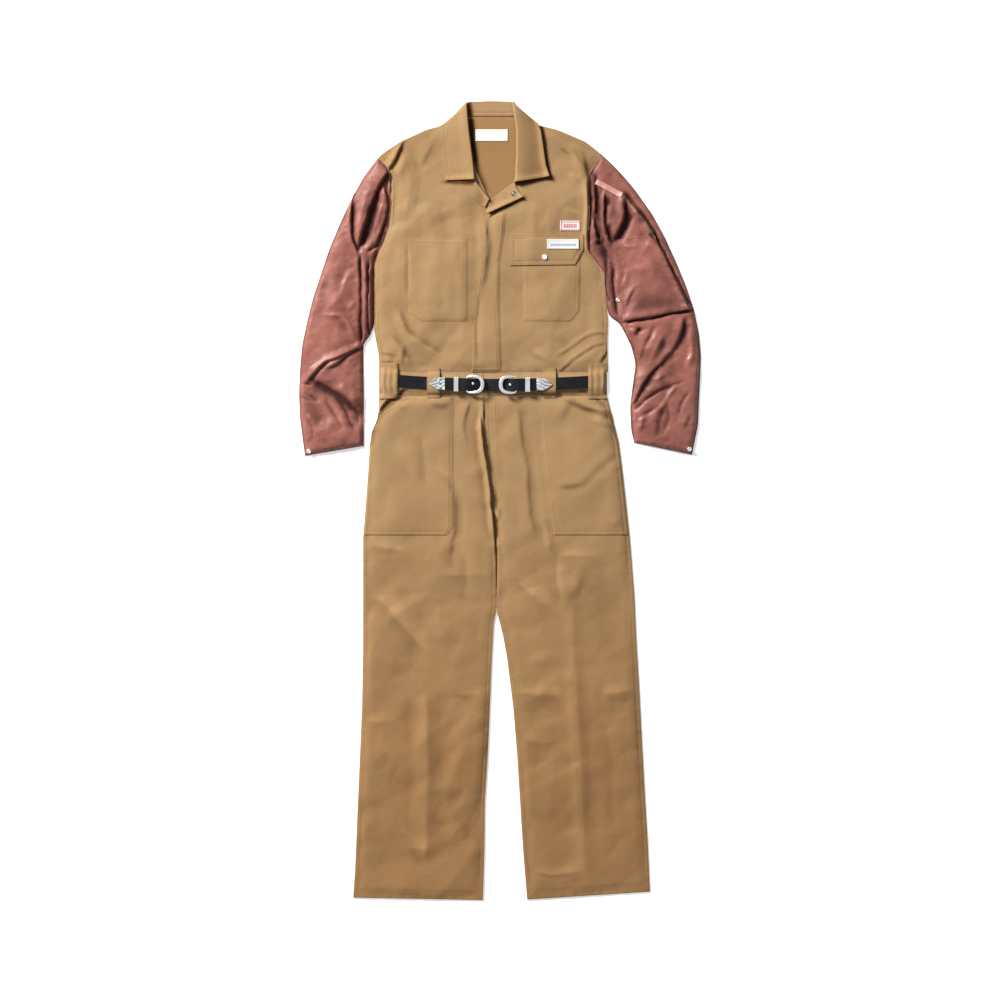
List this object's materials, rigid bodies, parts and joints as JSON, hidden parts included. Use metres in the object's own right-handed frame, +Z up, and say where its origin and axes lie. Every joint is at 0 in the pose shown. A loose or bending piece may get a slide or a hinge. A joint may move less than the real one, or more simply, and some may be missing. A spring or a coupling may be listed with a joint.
{
  "type": "boiler suit",
  "caption": "Boiler suit laid flat on its back: twill bodice and trousers in one, nylon sleeves, camp collar, covered front placket, patch pockets and its own belt with two buckles.",
  "frame": {"origin": "middle of the suit's outline, on the surface it lies on", "axes": "+Z up out of the front of the suit, +Y towards the collar, +X towards the wearer's left sleeve"},
  "size_m": [0.8036, 1.5977, 0.0152],
  "materials": {
    "tan_twill": "matt cotton twill",
    "red_brown_nylon": "shiny crinkled nylon",
    "black_leather": "smooth satin leather",
    "polished_metal": "polished silver",
    "white_label": "woven matt white"
  },
  "bodies": {
    "root": {"back_bodice": "tan_twill", "back_leg_left": "tan_twill", "back_leg_right": "tan_twill", "back_waistband": "tan_twill", "belt_billet": "black_leather", "belt_loop_left": "tan_twill", "belt_loop_right": "tan_twill", "belt_strap": "black_leather", "belt_tunnel_left": "tan_twill", "belt_tunnel_right": "tan_twill", "buckle_left": "polished_metal", "buckle_right": "polished_metal", "chest_flap": "tan_twill", "chest_pocket_left": "tan_twill", "chest_pocket_right": "tan_twill", "collar_fall": "tan_twill", "collar_leaf_left": "tan_twill", "collar_leaf_right": "tan_twill", "collar_stand": "tan_twill", "front_bodice_left": "tan_twill", "front_bodice_right": "tan_twill", "front_leg_left": "tan_twill", "front_leg_right": "tan_twill", "front_waistband_left": "tan_twill", "front_waistband_right": "tan_twill", "keeper_left": "polished_metal", "keeper_right": "polished_metal", "label_chest": "white_label", "label_flap": "white_label", "label_neck": "white_label", "lapel_left": "tan_twill", "lapel_right": "tan_twill", "placket": "tan_twill", "rivet_left": "polished_metal", "rivet_right": "polished_metal", "sleeve_pocket": "red_brown_nylon", "sleeve_tab": "red_brown_nylon", "sleeve_under_left": "red_brown_nylon", "sleeve_under_right": "red_brown_nylon", "sleeve_upper_left": "red_brown_nylon", "sleeve_upper_right": "red_brown_nylon", "snap_cuff_left": "polished_metal", "snap_cuff_right": "polished_metal", "snap_flap": "polished_metal", "snap_lapel": "polished_metal", "snap_sleeve_pocket": "polished_metal", "thigh_pocket_left": "tan_twill", "thigh_pocket_right": "tan_twill", "tip_left": "polished_metal", "tip_right": "polished_metal"}
  },
  "joints": []
}
